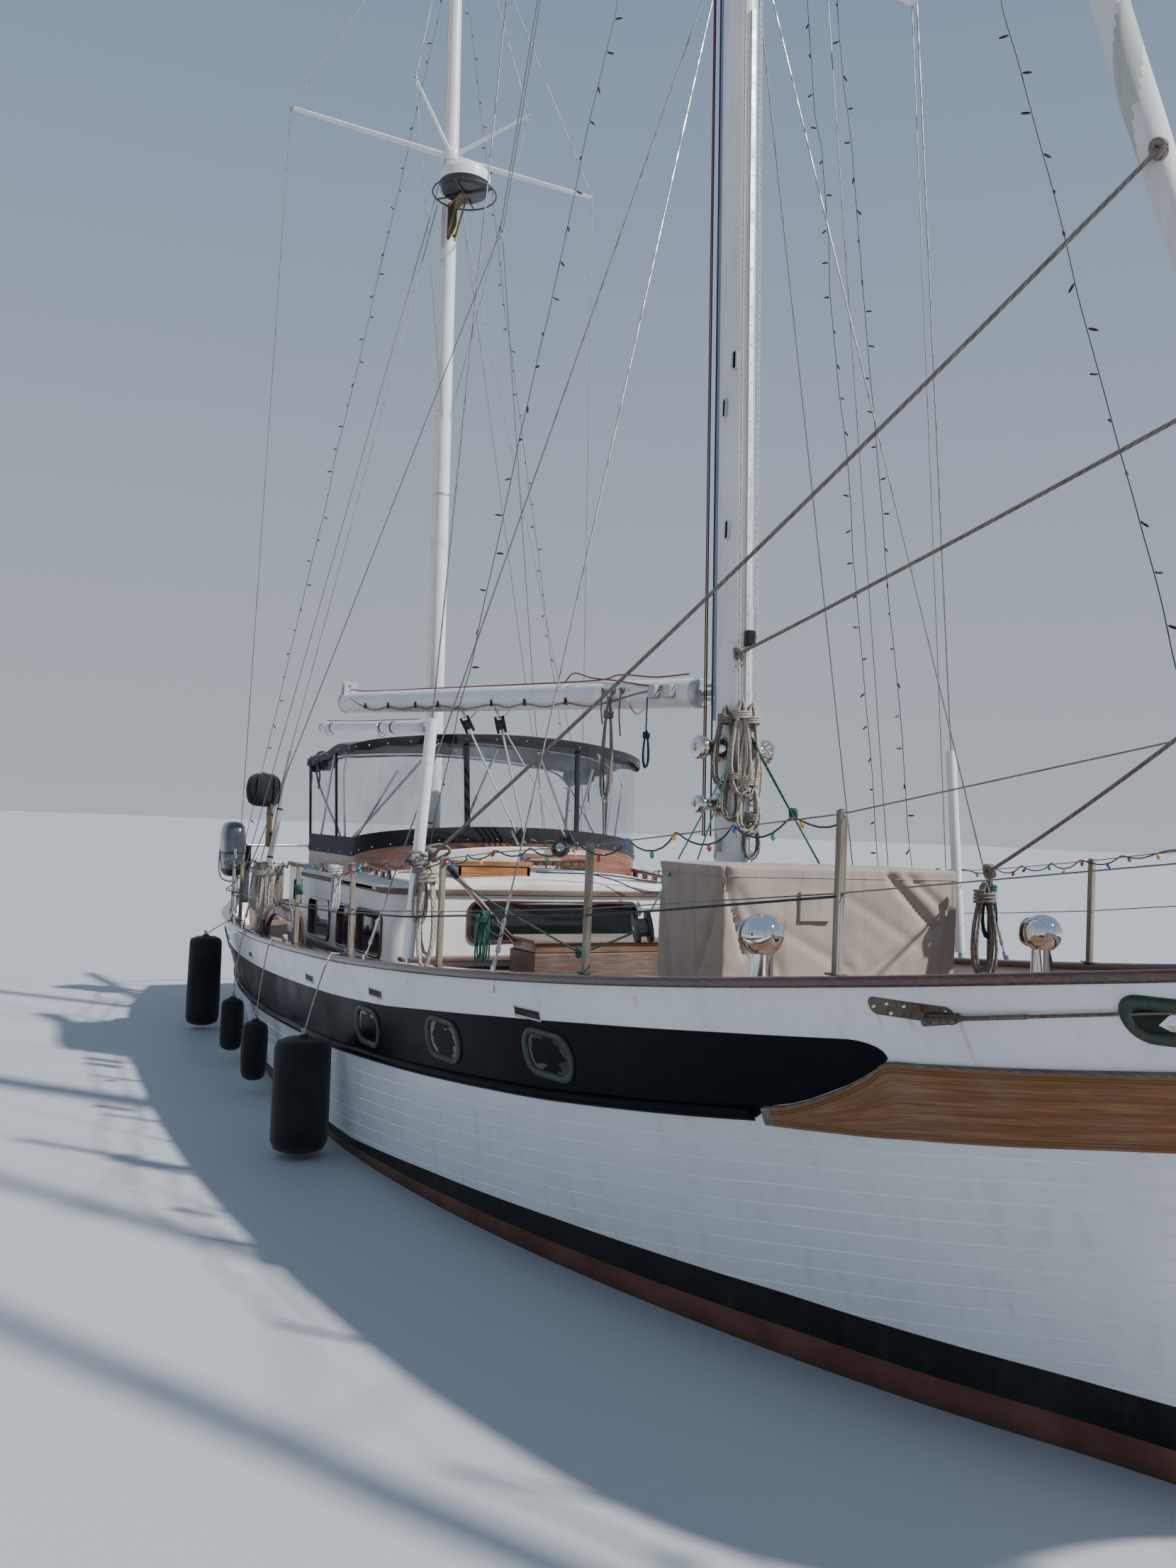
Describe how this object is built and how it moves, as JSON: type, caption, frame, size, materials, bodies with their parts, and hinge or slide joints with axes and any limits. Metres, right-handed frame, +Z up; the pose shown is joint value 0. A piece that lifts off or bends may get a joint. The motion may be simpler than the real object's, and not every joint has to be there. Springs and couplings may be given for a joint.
{
  "type": "centre-cockpit sailing ketch",
  "caption": "Full-keel centre-cockpit sailing ketch with clipper bow, bowsprit, two masts, cockpit enclosure and furled sails.",
  "frame": {"origin": "on the waterline and the centreline, amidships", "axes": "+X forward, +Y to port, +Z up"},
  "size_m": [16.036, 4.5246, 19.32],
  "materials": {
    "white_gelcoat": "glossy white gelcoat",
    "antifouling": "matt red-brown antifouling",
    "bronze": "dull bronze",
    "varnished_wood": "weathered varnish",
    "black_trim": "black",
    "stainless": "polished stainless steel",
    "cream_paint": "white paint",
    "dark_glass": "dark tinted",
    "black_cloth": "black canvas",
    "clear_vinyl": "clear vinyl",
    "tan_cloth": "weathered tan canvas",
    "white_spar": "satin white paint",
    "sailcloth": "white sailcloth",
    "weathered_grey": "weathered grey",
    "black_rubber": "matt black"
  },
  "bodies": {
    "yacht": {"hull": "white_gelcoat", "keel": "antifouling", "cap_rail_starboard": "varnished_wood", "cap_rail_port": "varnished_wood", "taffrail": "varnished_wood", "rub_strake_starboard": "black_trim", "rub_strake_port": "black_trim", "name_board_starboard": "varnished_wood", "name_board_port": "varnished_wood", "bowsprit": "varnished_wood", "bobstay": "stainless", "whisker_stay_starboard": "stainless", "whisker_stay_port": "stainless", "bow_pulpit": "stainless", "stern_rail": "stainless", "lifelines_starboard": "stainless", "lifelines_port": "stainless", "deckhouse": "cream_paint", "deckhouse_glazing": "dark_glass", "deckhouse_roof": "cream_paint", "cockpit_coaming": "varnished_wood", "steering_pedestal": "cream_paint", "enclosure_top": "black_cloth", "enclosure_panels": "clear_vinyl", "aft_cabin": "cream_paint", "foredeck_cover": "tan_cloth", "deck_box": "varnished_wood", "vent_cowl_starboard": "stainless", "vent_cowl_port": "stainless", "main_mast": "white_spar", "mizzen_mast": "white_spar", "mizzen_spreaders": "white_spar", "main_shrouds_starboard": "stainless", "main_shrouds_port": "stainless", "mizzen_shrouds_starboard": "stainless", "mizzen_shrouds_port": "stainless", "backstay_starboard": "stainless", "backstay_port": "stainless", "shroud_pipe_starboard": "white_spar", "shroud_pipe_port": "white_spar", "furled_staysail": "sailcloth", "furled_genoa": "sailcloth", "radar": "white_spar", "outboard_motor": "black_trim", "stern_pole": "weathered_grey", "canopy_bows": "stainless", "seat_cushion_starboard": "tan_cloth", "seat_cushion_port": "tan_cloth", "fender_1": "black_rubber", "fender_2": "black_rubber", "fender_3": "black_rubber", "fender_4": "black_rubber"},
    "rudder_blade": {"rudder": "antifouling"},
    "propeller_shaft": {"propeller": "bronze"},
    "helm": {"steering_wheel": "stainless"},
    "main_boom_spar": {"main_boom": "white_spar"},
    "mizzen_boom_spar": {"mizzen_boom": "white_spar"},
    "roof_hatch_lid": {"roof_hatch": "varnished_wood"},
    "companion_hatch": {"companion_slide": "varnished_wood"},
    "fore_hatch_cover": {"fore_hatch_lid": "varnished_wood"}
  },
  "joints": [
    {"name": "wheel_turn", "type": "hinge", "parent": "yacht", "child": "helm", "pos_m": [-2.25, 0, 1.56], "axis": [1, 0, 0], "range_deg": [-360, 360]},
    {"name": "rudder_turn", "type": "hinge", "parent": "yacht", "child": "rudder_blade", "pos_m": [-5.48, 0, -1], "axis": [0, 0, 1], "range_deg": [-35, 35]},
    {"name": "propeller_turn", "type": "hinge", "parent": "yacht", "child": "propeller_shaft", "pos_m": [-5.14, 0, -0.83], "axis": [1, 0, 0], "continuous": true},
    {"name": "main_boom_swing", "type": "hinge", "parent": "yacht", "child": "main_boom_spar", "pos_m": [1.68, 0, 3.14], "axis": [0, 0, 1], "range_deg": [-69.5, 46.5]},
    {"name": "mizzen_boom_swing", "type": "hinge", "parent": "yacht", "child": "mizzen_boom_spar", "pos_m": [-3.626, 0, 3.18], "axis": [0, 0, 1], "range_deg": [-65.5, 54.5]},
    {"name": "roof_hatch_open", "type": "hinge", "parent": "yacht", "child": "roof_hatch_lid", "pos_m": [-0.66, -0.485, 1.899], "axis": [0, 1, 0], "range_deg": [0, 80]},
    {"name": "companion_slide_open", "type": "slide", "parent": "yacht", "child": "companion_hatch", "axis": [1, 0, 0], "range_m": [0, 0.4]},
    {"name": "fore_hatch_open", "type": "hinge", "parent": "yacht", "child": "fore_hatch_cover", "pos_m": [4.98, 0, 1.589], "axis": [0, 1, 0], "range_deg": [0, 80]}
  ],
  "couplings": [
    {"joint": "rudder_turn", "follows": "wheel_turn", "ratio": 0.0972}
  ]
}
